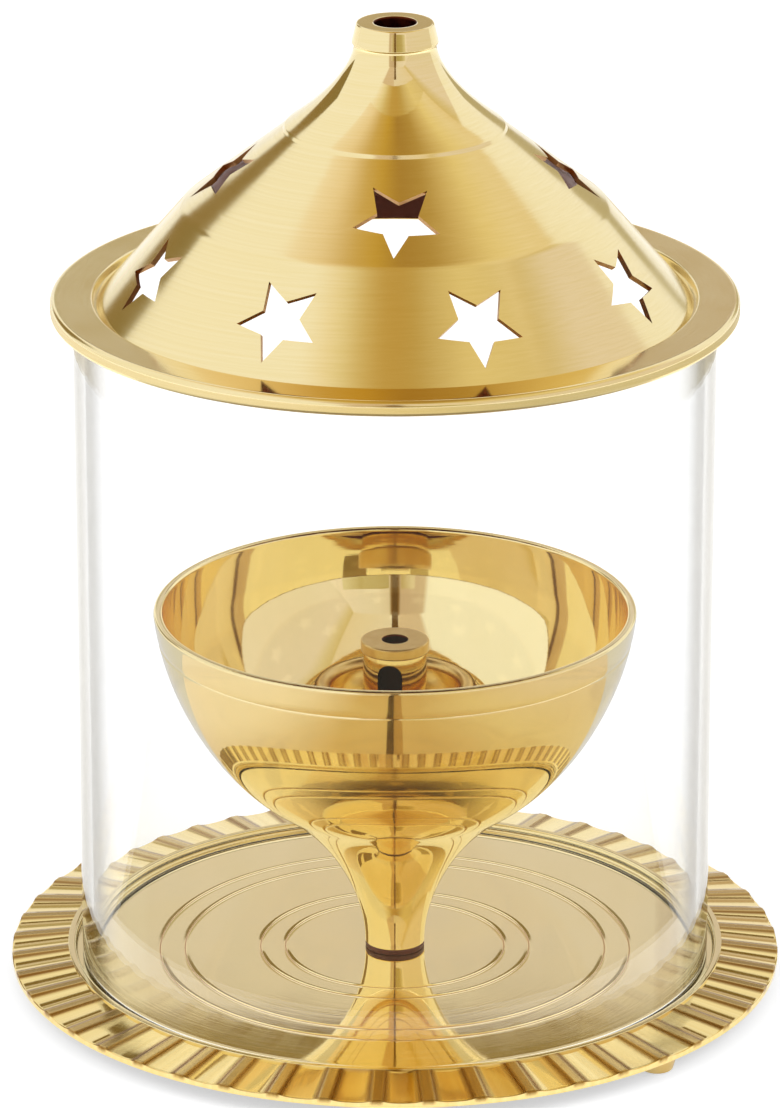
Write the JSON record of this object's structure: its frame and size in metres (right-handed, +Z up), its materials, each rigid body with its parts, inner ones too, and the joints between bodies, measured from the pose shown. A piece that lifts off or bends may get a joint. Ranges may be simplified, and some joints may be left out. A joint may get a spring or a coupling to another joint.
{
  "type": "akhand diya",
  "caption": "Brass oil lamp: fluted plate with a stemmed oil bowl and loose wick holder, inside a glass chimney under a conical pierced lid with a vent.",
  "frame": {"origin": "on the ground, under the middle of the plate", "axes": "+Z up along the lamp's axis, front of the picture towards -Y, +X to its right"},
  "size_m": [0.1226, 0.1226, 0.1562],
  "materials": {
    "polished_brass": "mirror polished, lightly turned",
    "satin_brass": "satin, fine turning marks",
    "clear_glass": "clear, fire-polished ends",
    "plated_steel": "bright zinc plate",
    "dark_fibre": "dull"
  },
  "bodies": {
    "base": {"plate": "polished_brass", "foot_front_right": "polished_brass", "foot_back": "polished_brass", "foot_left": "polished_brass", "stem_screw": "plated_steel", "screw_washer": "plated_steel", "stem_washer": "dark_fibre", "bowl": "polished_brass"},
    "wick_holder": {"wick_stand": "polished_brass", "wick_tube": "polished_brass", "wick_cap": "polished_brass"},
    "chimney": {"glass_chimney": "clear_glass"},
    "lid": {"lid_shell": "satin_brass", "vent_collar": "satin_brass"}
  },
  "joints": [
    {"name": "chimney_lift", "type": "slide", "parent": "base", "child": "chimney", "axis": [0, 0, 1], "range_m": [0, 0.07]},
    {"name": "lid_lift", "type": "slide", "parent": "chimney", "child": "lid", "axis": [0, 0, 1], "range_m": [0, 0.06]},
    {"name": "wick_lift", "type": "slide", "parent": "base", "child": "wick_holder", "axis": [0, 0, 1], "range_m": [0, 0.045]}
  ]
}
